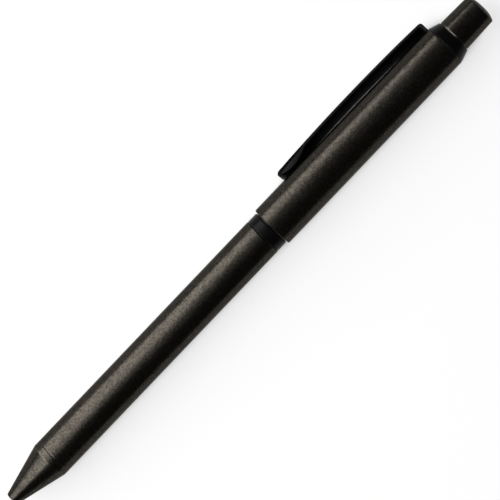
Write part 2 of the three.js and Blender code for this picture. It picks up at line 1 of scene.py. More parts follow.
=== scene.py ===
# %% [markdown]
# A slim multifunction pen
#
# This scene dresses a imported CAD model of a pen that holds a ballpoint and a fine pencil. The model
# says where every part is and how it moves, and this script gives each part its fine surface and its
# finish. The pen lies on a pale table under one large soft lamp.

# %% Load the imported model
import json
import math
from collections import namedtuple

import bmesh
import bpy
import numpy as np
from mathutils import Matrix, Vector

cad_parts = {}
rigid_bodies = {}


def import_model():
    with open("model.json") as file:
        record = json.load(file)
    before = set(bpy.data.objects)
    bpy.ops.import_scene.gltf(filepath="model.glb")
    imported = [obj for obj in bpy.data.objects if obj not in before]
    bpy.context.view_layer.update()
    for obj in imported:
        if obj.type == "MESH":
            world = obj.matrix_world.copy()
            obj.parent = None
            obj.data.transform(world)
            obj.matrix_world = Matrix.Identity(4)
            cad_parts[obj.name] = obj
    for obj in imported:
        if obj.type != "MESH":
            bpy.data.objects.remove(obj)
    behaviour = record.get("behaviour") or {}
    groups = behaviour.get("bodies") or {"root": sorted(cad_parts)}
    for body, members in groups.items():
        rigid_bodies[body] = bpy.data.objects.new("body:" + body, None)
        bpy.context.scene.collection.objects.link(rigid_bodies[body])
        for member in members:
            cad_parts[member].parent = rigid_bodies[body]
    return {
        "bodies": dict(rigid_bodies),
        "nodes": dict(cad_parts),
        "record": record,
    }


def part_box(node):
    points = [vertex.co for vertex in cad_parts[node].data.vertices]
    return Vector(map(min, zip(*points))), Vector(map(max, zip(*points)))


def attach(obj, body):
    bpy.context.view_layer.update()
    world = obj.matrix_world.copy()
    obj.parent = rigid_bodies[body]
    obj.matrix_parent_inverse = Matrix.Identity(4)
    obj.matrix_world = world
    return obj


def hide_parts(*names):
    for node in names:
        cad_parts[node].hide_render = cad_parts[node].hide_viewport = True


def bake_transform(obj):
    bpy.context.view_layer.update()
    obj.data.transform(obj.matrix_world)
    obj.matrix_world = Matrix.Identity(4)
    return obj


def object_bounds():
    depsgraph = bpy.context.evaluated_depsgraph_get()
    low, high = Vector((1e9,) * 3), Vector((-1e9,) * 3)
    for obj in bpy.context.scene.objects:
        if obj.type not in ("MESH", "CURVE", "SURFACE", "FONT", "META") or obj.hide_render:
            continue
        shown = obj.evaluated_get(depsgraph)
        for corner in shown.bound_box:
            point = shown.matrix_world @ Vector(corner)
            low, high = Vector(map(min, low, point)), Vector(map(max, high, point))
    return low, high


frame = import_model()
cad_low, cad_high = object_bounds()
MM = 0.001

# %% [markdown]
# The pen's own axes
#
# The pen lies along X, rolled about its axis until the clip's edge meets the table. Shapes are far
# easier to write in the pen's own axes: stations in millimetres from the mouth of the nose, and the
# clip straight up. Two mounts of the record give the axis and the clip's direction.

# %% Find the pen's axes in the record
mounts = {mount["name"]: mount for mount in frame["record"]["mounts"]}
axis_point = Vector(mounts["push_cap_face"]["pos_m"])
clip_side = Vector(mounts["pocket_clip"]["axis"]).normalized()
pen_along = Vector((1, 0, 0))
pen_across = clip_side.cross(pen_along)
mouth = Vector((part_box("nose_cone")[0].x, axis_point.y, axis_point.z))
pen_turn = Matrix((pen_along, pen_across, clip_side)).transposed().to_4x4()
pen_to_world = Matrix.Translation(mouth) @ (pen_turn @ Matrix.Scale(MM, 4))
world_to_pen = pen_to_world.inverted()
clip_roll = math.degrees(clip_side.angle(Vector((0, 0, 1))))
print("roll of the clip from straight up, degrees:", round(clip_roll, 2))

# %% [markdown]
# Reading sizes from the model
#
# No size is copied here. A turned CAD part has all its corners on rings about its axis, so the rings
# say everything: their stations, and their inner and outer radii. The two refills lean a degree from
# the pen's axis, so each of them is read in axes of its own.

# %% Rings of a turned node
RING_STEP = 0.02
END_DEPTH = 0.1

Ring = namedtuple("Ring", "station inner outer")


def corners(node, axes=Matrix()):
    """A CAD node's corners in millimetres, in the pen's axes or in axes given in them."""
    mesh = frame["nodes"][node].data
    flat = np.zeros(len(mesh.vertices) * 3)
    mesh.vertices.foreach_get("co", flat)
    turn = np.array((pen_to_world @ axes).inverted())
    return flat.reshape(-1, 3) @ turn[:3, :3].T + turn[:3, 3]


def rings(node, axes=Matrix()):
    """Each ring of a turned node, front to rear: its station, inner radius and outer radius."""
    points = corners(node, axes)
    radii = np.hypot(points[:, 1], points[:, 2])
    steps = np.round(points[:, 0] / RING_STEP).astype(int)
    found = []
    for step in sorted(set(steps)):
        here = steps == step
        found.append(Ring(*map(float, (points[here, 0].mean(), radii[here].min(), radii[here].max()))))
    return found


def outside(ring, *rounding):
    """A corner of an outline on the outside of a ring."""
    return ring.station, ring.outer, *rounding


def inside(ring, *rounding):
    """A corner of an outline on the inside of a ring."""
    return ring.station, ring.inner, *rounding


def groove(front, rear):
    """The corners of a groove between two rings."""
    return outside(front), inside(front), inside(rear), outside(rear)


def leaning_axes(node):
    """Axes whose X runs down the middle of a slim turned node that leans across the pen."""
    points = corners(node)
    front = points[points[:, 0] < points[:, 0].min() + END_DEPTH].mean(axis=0)
    rear = points[points[:, 0] > points[:, 0].max() - END_DEPTH].mean(axis=0)
    along = Vector(rear - front).normalized()
    start = Vector(front) - along * (front[0] / along.x)
    up = Vector((0, 0, 1))
    return Matrix.Translation(start) @ Matrix((along, up.cross(along), up)).transposed().to_4x4()


ballpoint_axes = leaning_axes("ink_tube")
pencil_axes = leaning_axes("pencil_tube")
print("nose cone:", [tuple(round(value, 2) for value in ring) for ring in rings("nose_cone")])
for name, axes in (("ballpoint", ballpoint_axes), ("pencil", pencil_axes)):
    print(name, "leans, degrees:", round(math.degrees(math.asin(axes[1][0])), 2))

# %% [markdown]
# Rounding an outline
#
# Nothing cut on a lathe has a perfectly sharp corner, and the thin bright line on a rounded corner is
# most of what makes a render look like metal. Each corner of an outline may ask for a radius. Two
# extra points beside each rounding keep the flats flat to the light, and a number stored on its
# points tells the materials where wear belongs.

# %% Outlines with rounded corners
ROUNDING_STEPS = 5
GUARD = 0.25


def rounded(outline):
    """Points (station, radius, edge) of a closed outline whose corners may carry a rounding radius."""
    area = sum(a[0] * b[1] - b[0] * a[1] for a, b in zip(outline, outline[1:] + outline[:1]))
    points = []
    for index, (station, radius, *rounding) in enumerate(outline):
        here = Vector((station, radius))
        if not rounding:
            points.append((station, radius, 0.0))
            continue
        before = here - Vector(outline[index - 1][:2])
        after = Vector(outline[(index + 1) % len(outline)][:2]) - here
        bend = math.atan2(before.cross(after), before.dot(after))
        reach = rounding[0] * math.tan(abs(bend) / 2)
        into, out = before.normalized(), after.normalized()
        side = math.copysign(1, bend)
        centre = here - into * reach + Vector((-into.y, into.x)) * side * rounding[0]
        spoke = here - into * reach - centre
        outward = float(bend * area > 0)
        if before.length > 2 * (reach + GUARD):
            points.append((*(here - into * (reach + GUARD)), 0.0))
        for step in range(ROUNDING_STEPS + 1):
            turn = bend * step / ROUNDING_STEPS
            x = spoke.x * math.cos(turn) - spoke.y * math.sin(turn)
            y = spoke.x * math.sin(turn) + spoke.y * math.cos(turn)
            points.append((centre.x + x, centre.y + y, outward))
        if after.length > 2 * (reach + GUARD):
            points.append((*(here + out * (reach + GUARD)), 0.0))
    return points


# %% [markdown]
# Turning an outline into a solid
#
# Each outline point becomes a ring of vertices, a point on the axis becomes a single pole, and
# neighbouring rings are joined by faces. So the surface is closed at once, without the seam that the
# Spin tool leaves. The roundings that most parts share have names here, sharpest first.

# %% A lathe
BARREL_SIDES = 192
REFILL_SIDES = 64
SHARP_ANGLE = math.radians(40)
ON_AXIS = 1e-6
BROKEN_EDGE = 0.03
THIN_EDGE = 0.05
JOINT_BEVEL = 0.08
SOFT_EDGE = 0.1
ROUND_EDGE = 0.15
BLEND = 0.3
WIDE_BLEND = 0.5


def object_from(name, bm):
    """A mesh object made from a bmesh, with its faces outwards."""
    if bm.calc_volume(signed=True) < 0:
        bmesh.ops.reverse_faces(bm, faces=bm.faces)
    mesh = bpy.data.meshes.new(name)
    bm.to_mesh(mesh)
    bm.free()
    obj = bpy.data.objects.new(name, mesh)
    bpy.context.collection.objects.link(obj)
    return obj


def lathe(name, outline, sides=BARREL_SIDES):
    """A solid turned about the X axis from an outline of (station, radius, optional rounding)."""
    bm = bmesh.new()
    edge = bm.verts.layers.float.new("edge")
    rows = []
    for station, radius, worn in rounded(outline):
        count = sides if radius > ON_AXIS else 1
        row = []
        for index in range(count):
            angle = 2 * math.pi * index / sides
            vertex = bm.verts.new((station, radius * math.cos(angle), radius * math.sin(angle)))
            vertex[edge] = worn
            row.append(vertex)
        rows.append(row)
    for row, following in zip(rows, rows[1:] + rows[:1]):
        if len(row) == len(following) == 1:
            continue
        for index in range(sides):
            after = (index + 1) % sides
            near = row if len(row) == 1 else [row[index], row[after]]
            far = following if len(following) == 1 else [following[after], following[index]]
            bm.faces.new(near + far)
    return object_from(name, bm)


# %% [markdown]
# Cutting, applying and fitting
#
# Holes and notches are cut with exact Boolean modifiers, as a drill or a milling cutter would. A piece
# is drawn in the pen's axes, and one helper takes it to its place, gives it its finish and body, and
# hides the CAD node that it stands for.

# %% Helpers that finish a piece
body_names = {empty.name: name for name, empty in frame["bodies"].items()}


def apply_modifiers(obj):
    """Makes a piece's modifiers part of its mesh."""
    graph = bpy.context.evaluated_depsgraph_get()
    shaped = bpy.data.meshes.new_from_object(obj.evaluated_get(graph))
    obj.modifiers.clear()
    obj.data = shaped


def cut(obj, tool):
    """Cuts a tool out of a piece and throws it away."""
    cutter = obj.modifiers.new("cutter", "BOOLEAN")
    cutter.operation = "DIFFERENCE"
    cutter.solver = "EXACT"
    cutter.object = tool
    apply_modifiers(obj)
    bpy.data.objects.remove(tool)


def bevel(obj, width, segments=3):
    """Rounds a piece's sharp edges a little."""
    rounder = obj.modifiers.new("rounder", "BEVEL")
    rounder.width = width
    rounder.segments = segments
    rounder.limit_method = "ANGLE"
    rounder.angle_limit = SHARP_ANGLE
    apply_modifiers(obj)
    return obj


def fit(obj, finish, node=None, axes=Matrix(), body=None):
    """Takes a piece to its place and gives it its finish, its body and the node that it stands for."""
    obj.data.transform(pen_to_world @ axes)
    obj.data.shade_smooth()
    obj.data.set_sharp_from_angle(angle=SHARP_ANGLE)
    obj.data.materials.clear()
    obj.data.materials.append(finish)
    if node:
        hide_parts(node)
        body = body_names[frame["nodes"][node].parent.name]
    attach(obj, body)
    print(obj.name, "rides on", body, "with", len(obj.data.polygons), "faces")


def turned(name, finish, node, outline, sides=BARREL_SIDES, axes=Matrix()):
    """Turns an outline into a piece that stands for a node."""
    fit(lathe(name, outline, sides), finish, node, axes=axes)


WELD = 0.002


def joined(node):
    """A bmesh of a CAD node in the pen's axes, with its loose corners joined."""
    bm = bmesh.new()
    bm.from_mesh(frame["nodes"][node].data)
    bmesh.ops.transform(bm, matrix=world_to_pen, verts=bm.verts)
    bmesh.ops.remove_doubles(bm, verts=bm.verts, dist=WELD)
    return bm


# %% [markdown]
# Effects that the finishes share
#
# What makes a surface look real is mostly small: the rings that a lathe leaves, the flakes in a
# paint, marks of handling, a polished edge. Each is one node group, built once for all finishes. They
# read Object coordinates, in metres, so the detail has its real size and stays with a moving piece.

# %% Node helpers
def place(tree, kind, inputs=None, **settings):
    """A new node with its settings; an input given as a socket is linked, any other is a value."""
    made = tree.nodes.new(kind)
    for name, value in settings.items():
        setattr(made, name, value)
    for name, value in (inputs or {}).items():
        if isinstance(value, bpy.types.NodeSocket):
            tree.links.new(value, made.inputs[name])
        else:
            made.inputs[name].default_value = value
    return made


def work(tree, operation, *values):
    """A Math node's result."""
    return place(tree, "ShaderNodeMath", dict(enumerate(values)), operation=operation).outputs[0]


def times(tree, product, *factors):
    """The product of two or more values."""
    for factor in factors:
        product = work(tree, "MULTIPLY", product, factor)
    return product


def plus(tree, first, second):
    """The sum of two values."""
    return work(tree, "ADD", first, second)


def spread(tree, value, low, high, start=0.0, end=1.0):
    """Takes values between start and end to values between low and high."""
    inputs = {"Value": value, "From Min": start, "From Max": end, "To Min": low, "To Max": high}
    return place(tree, "ShaderNodeMapRange", inputs).outputs["Result"]


def between(tree, share, low, high):
    """A colour part of the way from one colour to another."""
    share_socket, low_socket, high_socket, result = 0, 6, 7, 2
    inputs = {share_socket: share, low_socket: low, high_socket: high}
    return place(tree, "ShaderNodeMix", inputs, data_type="RGBA").outputs[result]


def where(tree):
    """Object coordinates, in metres."""
    return place(tree, "ShaderNodeTexCoord").outputs["Object"]


def first_of(tree, vector):
    """The first number of a point or a colour."""
    return place(tree, "ShaderNodeSeparateXYZ", {"Vector": vector}).outputs["X"]


def fineness(tree, size):
    """The scale of a texture whose features are this many millimetres across."""
    return work(tree, "DIVIDE", 1.0 / MM, size)


def soft_noise(tree, point, scale, detail, **more):
    """Soft noise from 0 to 1, at a point."""
    inputs = {"Vector": point, "Scale": scale, "Detail": detail, **more}
    return place(tree, "ShaderNodeTexNoise", inputs).outputs["Fac"]


def noise(tree, size, detail=2.0, stretch=(1, 1, 1)):
    """Soft noise from 0 to 1 with features about this many millimetres across."""
    point = place(tree, "ShaderNodeMapping", {
        "Vector": where(tree),
        "Scale": [size * MM * factor for factor in stretch],
    }, vector_type="TEXTURE")
    return soft_noise(tree, point.outputs["Vector"], 1.0, detail)


def spaced(values):
    """Values given by keyword, by the names of their sockets."""
    return {name.replace("_", " "): value for name, value in values.items()}


def effect(name, inputs, outputs):
    """An empty node group with number sockets, and its inputs."""
    tree = bpy.data.node_groups.new(name, "ShaderNodeTree")
    for in_out, sockets in (("INPUT", inputs), ("OUTPUT", outputs)):
        for socket in sockets:
            tree.interface.new_socket(socket, in_out=in_out, socket_type="NodeSocketFloat")
    print("effect:", name, "gives", ", ".join(outputs))
    return tree, place(tree, "NodeGroupInput").outputs


def apply_effect(tree, group, **inputs):
    """A node group placed in a material, with its values, and its outputs."""
    return place(tree, "ShaderNodeGroup", spaced(inputs), node_tree=group).outputs


# %% [markdown]
# Rings from the lathe
#
# A turned part has fine rings about its axis. They need nothing but the place along the pen, so their
# noise is one-dimensional and never shows a seam.

# %% Turning lines
SLOW_LINES = 0.12

tree, given = effect("turning lines", ("Spacing",), ("Height", "Tone"))
station = first_of(tree, where(tree))
count = work(tree, "DIVIDE", station, times(tree, given["Spacing"], MM))
fine, slow = (
    place(tree, "ShaderNodeTexNoise", {"W": count, "Scale": scale, "Detail": detail}, noise_dimensions="1D")
    for scale, detail in ((1.0, 3.0), (SLOW_LINES, 1.0))
)
place(tree, "NodeGroupOutput", {"Height": fine.outputs["Fac"], "Tone": slow.outputs["Fac"]})
lines_group = tree

# %% [markdown]
# Flakes in the paint
#
# A gunmetal finish is a thin dark lacquer full of aluminium flakes, each at its own angle. Voronoi
# cells are the flakes: one random tone a cell, and a fine relief that scatters the highlight's edge.

# %% Paint flakes
LARGE_FLAKES = 0.45
LARGE_SHARE = 0.15

tree, given = effect("paint flakes", ("Size",), ("Tone", "Height"))
point = where(tree)
scale = fineness(tree, given["Size"])
tones = []
for finer in (scale, times(tree, scale, LARGE_FLAKES)):
    cells = place(tree, "ShaderNodeTexVoronoi", {"Vector": point, "Scale": finer})
    tones.append(first_of(tree, cells.outputs["Color"]))
tone = plus(tree, times(tree, tones[0], 1 - LARGE_SHARE), times(tree, tones[1], LARGE_SHARE))
place(tree, "NodeGroupOutput", {"Tone": tone, "Height": soft_noise(tree, point, scale, 1.0)})
flakes_group = tree

# %% [markdown]
# Marks of handling
#
# Fingers leave soft smudges that dull the gloss a little, and keys and pockets leave hairlines, mostly
# along the pen. A hairline is a stretched Voronoi cell's point, and only some cells have one.

# %% Smudges and hairlines
HAIRLINE_WIDTH = 0.5
HAIRLINE_CORE = 0.09
HAIRLINE_TILT = 0.4
HAIRLINE_TURNS = (-0.13, 0.31)
HAIRLINES_LEFT_OUT = 0.72
SMUDGE_EDGE = (0.42, 0.68)

tree, given = effect("handling marks", ("Smudge Size", "Scratch Length"), ("Smudges", "Hairlines"))
point = where(tree)
soft = soft_noise(tree, point, fineness(tree, given["Smudge Size"]), 4.0, Distortion=0.6)
smudges = spread(tree, soft, 0.0, 1.0, *SMUDGE_EDGE)
length = times(tree, given["Scratch Length"], MM)
width = HAIRLINE_WIDTH * MM
stretch = place(tree, "ShaderNodeCombineXYZ", {"X": length, "Y": width, "Z": width})
layers = []
for turn in HAIRLINE_TURNS:
    laid = place(tree, "ShaderNodeMapping", {
        "Vector": point, "Rotation": (HAIRLINE_TILT, turn, turn), "Scale": stretch.outputs["Vector"],
    }, vector_type="TEXTURE")
    cells = place(tree, "ShaderNodeTexVoronoi", {"Vector": laid.outputs["Vector"], "Scale": 1.0}).outputs
    kept = work(tree, "GREATER_THAN", first_of(tree, cells["Color"]), HAIRLINES_LEFT_OUT)
    layers.append(times(tree, kept, spread(tree, cells["Distance"], 1.0, 0.0, 0.0, HAIRLINE_CORE)))
place(tree, "NodeGroupOutput", {"Smudges": smudges, "Hairlines": work(tree, "MAXIMUM", *layers)})
handling_group = tree

# %% [markdown]
# Worn edges
#
# Wear starts at the outward edges. Pointiness could find them, but it depends on how fine a mesh is.
# The lathe stored a number on every rounded outward corner instead, and noise breaks the line up.

# %% Edge wear
LEAST_WEAR = 0.15
PATCH_EDGE = (0.4, 0.62)

tree, given = effect("edge wear", ("Patch Size",), ("Mask",))
edges = place(tree, "ShaderNodeAttribute", attribute_name="edge", attribute_type="GEOMETRY")
patches = soft_noise(tree, where(tree), fineness(tree, given["Patch Size"]), 3.0)
worn = spread(tree, patches, LEAST_WEAR, 1.0, *PATCH_EDGE)
place(tree, "NodeGroupOutput", {"Mask": times(tree, edges.outputs["Fac"], worn)})
wear_group = tree

# %% [markdown]
# Grain
#
# Moulded plastic takes the fine texture of its mould, and rubber is grainier still. Two sizes of noise
# give the relief, and the larger one also changes the tone a little.

# %% Moulded grain
COARSE_GRAIN = 0.18
COARSE_DEPTH = 1.5

tree, given = effect("moulded grain", ("Size",), ("Height", "Tone"))
point = where(tree)
scale = fineness(tree, given["Size"])
fine = soft_noise(tree, point, scale, 3.0)
coarse = soft_noise(tree, point, times(tree, scale, COARSE_GRAIN), 2.0)
height = plus(tree, fine, times(tree, coarse, COARSE_DEPTH))
place(tree, "NodeGroupOutput", {"Height": height, "Tone": coarse})
grain_group = tree

# %% [markdown]
# Starting a finish
#
# Every finish is one Principled shader. A value that is the same all over is set on the shader's own
# socket. What changes over the surface is linked last, by one helper, with the relief's real depth.

# %% Helpers that start and close a finish
def new_finish(name, colour, roughness, **values):
    """A material for one of the record's slots, with plain values on its shader's own sockets."""
    material = bpy.data.materials.new(f"{name} finish")
    material["slot"] = name
    material.use_nodes = True
    sockets = material.node_tree.nodes["Principled BSDF"].inputs
    plain = {"Base Color": (*colour, 1), "Roughness": roughness} | spaced(values)
    for socket, value in plain.items():
        sockets[socket].default_value = value
    return material


def vary(material, colour, roughness, height, depth):
    """Links what changes over a finish: its colour, its roughness, and its relief in millimetres."""
    tree = material.node_tree
    sockets = tree.nodes["Principled BSDF"].inputs
    bump = place(tree, "ShaderNodeBump", {"Height": height, "Distance": depth * MM})
    tree.links.new(colour, sockets["Base Color"])
    tree.links.new(roughness, sockets["Roughness"])
    tree.links.new(bump.outputs["Normal"], sockets["Normal"])
    print("finish:", material.name, "with", len(tree.nodes), "nodes")


def dulled(tree, value, low, high, marks, extra):
    """A roughness between low and high, with something extra in the hairlines."""
    return plus(tree, spread(tree, value, low, high), times(tree, marks["Hairlines"], extra))


def shade(colour, factor):
    """A lighter or darker colour, ready for a socket."""
    return (*(channel * factor for channel in colour), 1)


# %% [markdown]
# Gunmetal paint
#
# The barrels, the nose and the cap share one dark warm grey metallic lacquer, glossy enough to show
# the lamp as one broad soft band. Close up it shows flakes, the faintest turned rings, and edges
# polished a little lighter.

# %% Mix the paint
GUNMETAL = (0.0338, 0.0302, 0.0252)
POLISHED_EDGE = (0.085, 0.078, 0.066, 1)
FLAKE_TONES = (0.5, 1.5)
POLISH_SHARE = 0.5
RING_RELIEF_SHARE = 0.35

body_paint = new_finish("body_paint", GUNMETAL, 0.27, Metallic=1.0, Specular_Tint=(0.55, 0.55, 0.55, 1))
tree = body_paint.node_tree
flakes = apply_effect(tree, flakes_group, Size=0.25)
lines = apply_effect(tree, lines_group, Spacing=0.12)
marks = apply_effect(tree, handling_group, Smudge_Size=11.0, Scratch_Length=7.0)
wear = apply_effect(tree, wear_group, Patch_Size=0.8)
painted = between(tree, flakes["Tone"], *(shade(GUNMETAL, tone) for tone in FLAKE_TONES))
colour = between(tree, times(tree, wear["Mask"], POLISH_SHARE), painted, POLISHED_EDGE)
roughness = dulled(tree, marks["Smudges"], 0.255, 0.29, marks, extra=0.05)
height = plus(tree, flakes["Height"], times(tree, lines["Height"], RING_RELIEF_SHARE))
vary(body_paint, colour, roughness, height, depth=0.0012)

# %% [markdown]
# Gloss black
#
# The clip, the collar and the ring are black lacquer over steel, smooth but for a trace of orange
# peel. On black, dust and smudges are what one sees.

# %% Mix the black lacquer
BLACK = (0.002, 0.002, 0.002, 1)
DUST = (0.05, 0.048, 0.045, 1)
SPECK_EDGE = (0.74, 0.8)
SPECK_SHARE = 0.5
WEAR_SHARE = 0.12

black_gloss = new_finish("black_gloss", BLACK[:3], 0.3, Specular_IOR_Level=0.06)
tree = black_gloss.node_tree
marks = apply_effect(tree, handling_group, Smudge_Size=5.0, Scratch_Length=5.0)
wear = apply_effect(tree, wear_group, Patch_Size=0.5)
specks = times(tree, spread(tree, noise(tree, 0.18, 1.0), 0.0, 1.0, *SPECK_EDGE), SPECK_SHARE)
dusted = work(tree, "MAXIMUM", specks, times(tree, wear["Mask"], WEAR_SHARE))
colour = between(tree, dusted, BLACK, DUST)
roughness = dulled(tree, marks["Smudges"], 0.28, 0.34, marks, extra=0.08)
vary(black_gloss, colour, roughness, noise(tree, 0.9, 1.0), depth=0.0015)

# %% [markdown]
# Bare metals
#
# Inside, nothing is painted. Steel tubes and springs are drawn, with lines along them, and brass is
# turned, with rings and a little tarnish. One loop mixes all three, as they differ only in that, in
# colour and in gloss.

# %% Mix the metals
STAIN_SHARE = 0.38
BLOOM = 0.12

metals = {}
for name, bright, tarnished, roughness, ringed in (
    ("brass", (0.80, 0.60, 0.30, 1), (0.52, 0.36, 0.17, 1), 0.2, True),
    ("bare_steel", (0.64, 0.63, 0.61, 1), (0.43, 0.42, 0.40, 1), 0.2, False),
    ("spring_steel", (0.52, 0.52, 0.52, 1), (0.28, 0.27, 0.26, 1), 0.24, False),
):
    metals[name] = new_finish(name, bright[:3], roughness, Metallic=1.0)
    tree = metals[name].node_tree
    marks = apply_effect(tree, handling_group, Smudge_Size=3.5, Scratch_Length=2.5)
    if ringed:
        lines = apply_effect(tree, lines_group, Spacing=0.06)
        relief, tone = lines["Height"], lines["Tone"]
    else:
        relief = noise(tree, 0.05, 2.0, stretch=(60, 1, 1))
        tone = noise(tree, 0.3, 2.0, stretch=(20, 1, 1))
    stain = times(tree, plus(tree, marks["Smudges"], tone), STAIN_SHARE)
    dull = dulled(tree, marks["Smudges"], roughness, roughness + BLOOM, marks, extra=0.1)
    vary(metals[name], between(tree, stain, bright, tarnished), dull, relief, depth=0.0012)
brass, bare_steel, spring_steel = metals.values()

# %% [markdown]
# Plastics and rubbers
#
# The ballpoint's carrier is black plastic and the pencil's is white, so that the two points can be told
# apart. The friction ring is dense black rubber, and the eraser is soft, pale and grainy. One loop
# mixes them, as they differ only in colour, in gloss and in the size and depth of their grain.

# %% Mix the plastics and rubbers
TONE_RANGE = (0.3, 0.7)
GLOSS_SPREAD = 0.06

moulded = {}
for name, light, dark, roughness, size, depth in (
    ("white_plastic", (0.80, 0.80, 0.78, 1), (0.72, 0.71, 0.68, 1), 0.34, 0.12, 0.002),
    ("black_plastic", (0.024, 0.024, 0.025, 1), (0.014, 0.014, 0.015, 1), 0.38, 0.12, 0.003),
    ("eraser_rubber", (0.84, 0.83, 0.80, 1), (0.70, 0.68, 0.64, 1), 0.78, 0.16, 0.012),
    ("seal_rubber", (0.017, 0.017, 0.017, 1), (0.009, 0.009, 0.009, 1), 0.55, 0.08, 0.005),
):
    moulded[name] = new_finish(name, light[:3], roughness)
    tree = moulded[name].node_tree
    grain = apply_effect(tree, grain_group, Size=size)
    marks = apply_effect(tree, handling_group, Smudge_Size=4.0, Scratch_Length=2.0)
    tone = spread(tree, grain["Tone"], 0.0, 1.0, *TONE_RANGE)
    colour = between(tree, times(tree, plus(tree, tone, marks["Smudges"]), 0.5), light, dark)
    dull = dulled(tree, grain["Tone"], roughness - GLOSS_SPREAD, roughness + GLOSS_SPREAD, marks, extra=0.1)
    vary(moulded[name], colour, dull, grain["Height"], depth)
white_plastic, black_plastic, eraser_rubber, seal_rubber = moulded.values()

# %% [markdown]
# Graphite
#
# A pencil lead is extruded, so it has a dull shine with fine lines along it and dark pores. Stretched
# noise gives the lines, and plain noise the pores.

# %% Mix the graphite
GRAPHITE = (0.042, 0.042, 0.046, 1)
PORE = (0.016, 0.016, 0.018, 1)
PORE_EDGE = (0.55, 0.75)

graphite = new_finish("graphite", GRAPHITE[:3], 0.4)
tree = graphite.node_tree
drawn = noise(tree, 0.03, 2.0, stretch=(40, 1, 1))
pores = spread(tree, noise(tree, 0.06, 2.0), 0.0, 1.0, *PORE_EDGE)
colour = between(tree, pores, GRAPHITE, PORE)
relief = work(tree, "SUBTRACT", drawn, pores)
vary(graphite, colour, spread(tree, pores, 0.36, 0.62), relief, depth=0.0015)

# %% [markdown]
# The nose cone
#
# A plain cone with a short cylindrical land behind it. Its mouth is rounded so that it doesn't cut
# paper, and the fine bevel of its rear edge draws the dark line of the joint. Its bore is part of the
# same outline, so nothing needs cutting.

# %% Turn the nose cone
MOUTH_ROUNDING = 0.2
BORE_ROUNDING = 0.12

tip, bore, kink, land, spigot = rings("nose_cone")
turned("nose_cone_turned", body_paint, "nose_cone", [
    outside(tip, MOUTH_ROUNDING),
    outside(kink, BLEND),
    outside(land, JOINT_BEVEL),
    inside(land),
    outside(spigot, JOINT_BEVEL),
    inside(spigot),
    inside(bore, WIDE_BLEND),
    inside(tip, BORE_ROUNDING),
])

# %% [markdown]
# The lower barrel
#
# A straight tube. It could be a cylinder with a second one cut out, but an outline of four corners is
# less work, and gives its ends the same bevel as the nose's.

# %% Turn the lower barrel
front, rear = rings("lower_barrel")
turned("lower_barrel_turned", body_paint, "lower_barrel", [
    outside(front, JOINT_BEVEL),
    outside(rear, JOINT_BEVEL),
    inside(rear),
    inside(front),
])

# %% [markdown]
# The centre connector
#
# Only its black ring, in the middle of the pen, shows. In front of it is the threaded spigot for the
# lower barrel, and behind it the stem that the upper barrel turns on, with the groove for its
# friction ring. A solid web has a hole for each carrier. They lie beside the axis, where no lathe
# reaches, so they are drilled afterwards.

# %% Turn the connector and bore it
THREAD_ROOT = 0.26
THREAD_INSET = 1.0
HOLE_OVERRUN = 1.0

(spigot_front, web_front, spigot_end, ring_front, ring_rear, seat_front, seat_rear, groove_front, groove_rear,
 stem_end, connector_rear) = rings("centre_connector")
thread_start = spigot_front.station + THREAD_INSET
thread_end = spigot_end.station - THREAD_INSET
thread_radius = spigot_front.outer - THREAD_ROOT
connector = lathe("centre_connector_turned", [
    outside(spigot_front, ROUND_EDGE),
    (thread_start, spigot_front.outer),
    (thread_start + THREAD_ROOT, thread_radius),
    (thread_end - THREAD_ROOT, thread_radius),
    (thread_end, spigot_front.outer),
    inside(spigot_end),
    outside(spigot_end, BROKEN_EDGE),
    outside(ring_front, SOFT_EDGE),
    outside(ring_rear, SOFT_EDGE),
    *groove(seat_front, seat_rear),
    *groove(groove_front, groove_rear),
    outside(stem_end),
    inside(stem_end),
    outside(connector_rear, JOINT_BEVEL),
    (connector_rear.station, 0),
    (web_front.station, 0),
    outside(web_front),
    inside(spigot_front),
])
carrier_offset = float(np.mean(corners("pencil_spring")[:, 1]))
web = corners("centre_connector")
web = web[web[:, 0] > connector_rear.station - END_DEPTH]
hole_radius = float(np.hypot(web[:, 1] - carrier_offset, web[:, 2]).min())
start, end = web_front.station - HOLE_OVERRUN, connector_rear.station + HOLE_OVERRUN
for side in (-1, 1):
    drill = lathe("drill", [(start, 0), (start, hole_radius), (end, hole_radius), (end, 0)], REFILL_SIDES)
    drill.data.transform(Matrix.Translation((0, side * carrier_offset, 0)))
    cut(connector, drill)
fit(connector, black_gloss, "centre_connector")
print("carrier holes: offset", round(carrier_offset, 3), "radius", round(hole_radius, 3))

# %% [markdown]
# The upper barrel
#
# A wider tube that starts with a bevel behind the black ring. At its tail a counterbore holds the
# clip's ring. The notch that lets the clip out is milled after turning, as in the real tube.

# %% Turn the upper barrel and notch it
front, slope, counterbore, rear = rings("upper_barrel")
upper_barrel = lathe("upper_barrel_turned", [
    outside(front),
    outside(slope),
    outside(rear, JOINT_BEVEL),
    inside(rear),
    (counterbore.station, rear.inner),
    inside(counterbore),
    inside(front),
])
tail = corners("upper_barrel")
tail = tail[(tail[:, 0] > rear.station - RING_STEP) & (tail[:, 2] > 0)]
notch_half = float(np.abs(tail[:, 1]).min())
notch_end, notch_top = rear.station + HOLE_OVERRUN, rear.outer + HOLE_OVERRUN
middle = Matrix.Translation(((counterbore.station + notch_end) / 2, 0, notch_top / 2))
size = Matrix.Diagonal((notch_end - counterbore.station, 2 * notch_half, notch_top, 1))
bm = bmesh.new()
bmesh.ops.create_cube(bm, size=1, matrix=middle @ size)
cut(upper_barrel, object_from("notch_cutter", bm))
fit(upper_barrel, body_paint, "upper_barrel")
print("notch half width:", round(notch_half, 3))

# %% [markdown]
# The tail collar
#
# A short black cone that closes the upper barrel. Its spigot holds the clip's ring in place, and the
# push cap slides in its bore. All its steps are round, so one outline is enough.

# %% Turn the tail collar
COLLAR_EDGE = 0.06

